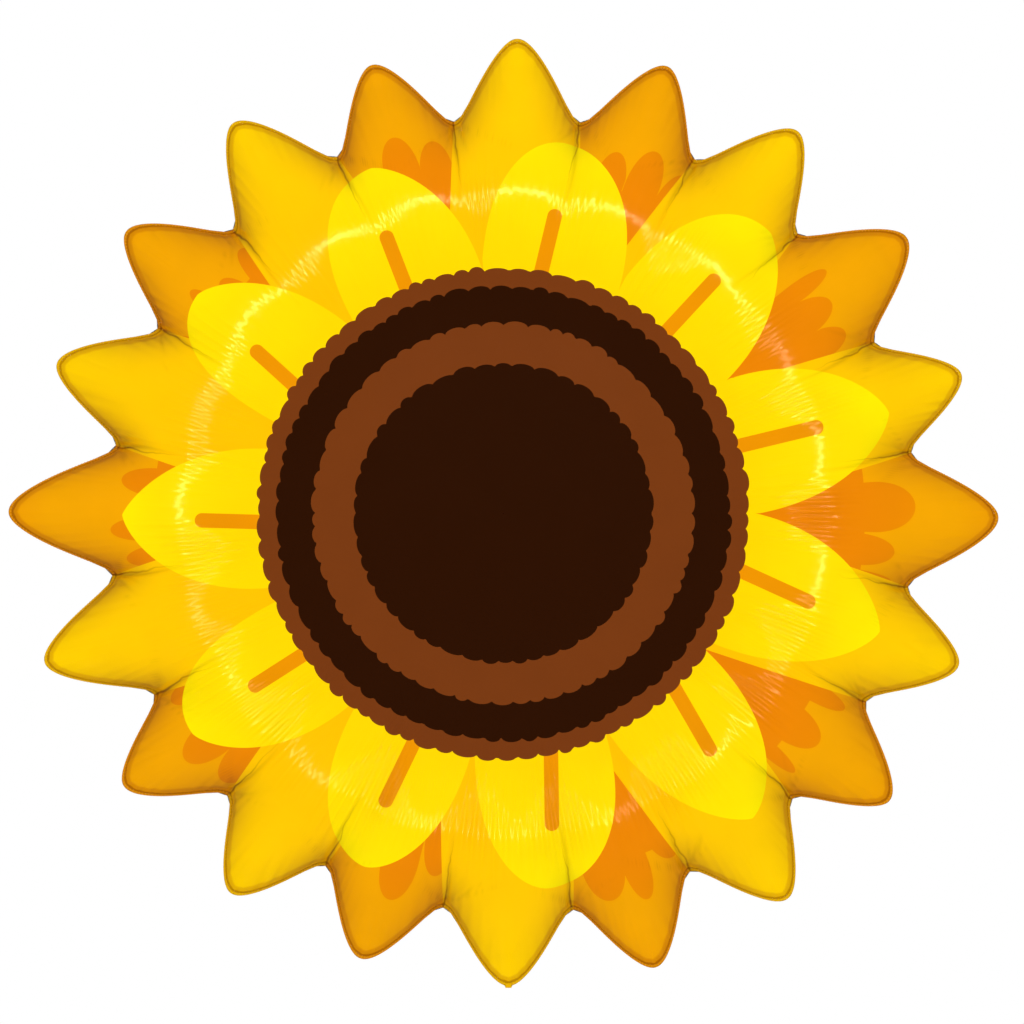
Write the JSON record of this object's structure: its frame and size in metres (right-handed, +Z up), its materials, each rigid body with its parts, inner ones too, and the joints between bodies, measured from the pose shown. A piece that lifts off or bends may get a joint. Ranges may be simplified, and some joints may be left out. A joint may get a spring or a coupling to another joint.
{
  "type": "sunflower-shaped foil balloon",
  "caption": "Inflated foil balloon in the shape of a sunflower head, printed on both sheets, with a sealed petal outline, a folded inflation tail and a self-sealing valve.",
  "frame": {"origin": "neck of the inflation tail, on the seam plane at the tip of the bottom petal, where a ribbon holds the balloon", "axes": "+Z up through the middle of the flower, -Y out of the printed front, +X to the viewer's right"},
  "size_m": [0.792, 0.3118, 0.7608],
  "materials": {
    "front_print": "glossy printed metallised film, yellow and orange petals round a brown disc",
    "back_print": "glossy printed metallised film, the same flower as the front",
    "valve_film": "clear polyethylene film"
  },
  "bodies": {
    "root": {"front_foil": "front_print", "back_foil": "back_print", "valve_film_front": "valve_film", "valve_film_back": "valve_film"}
  },
  "joints": []
}
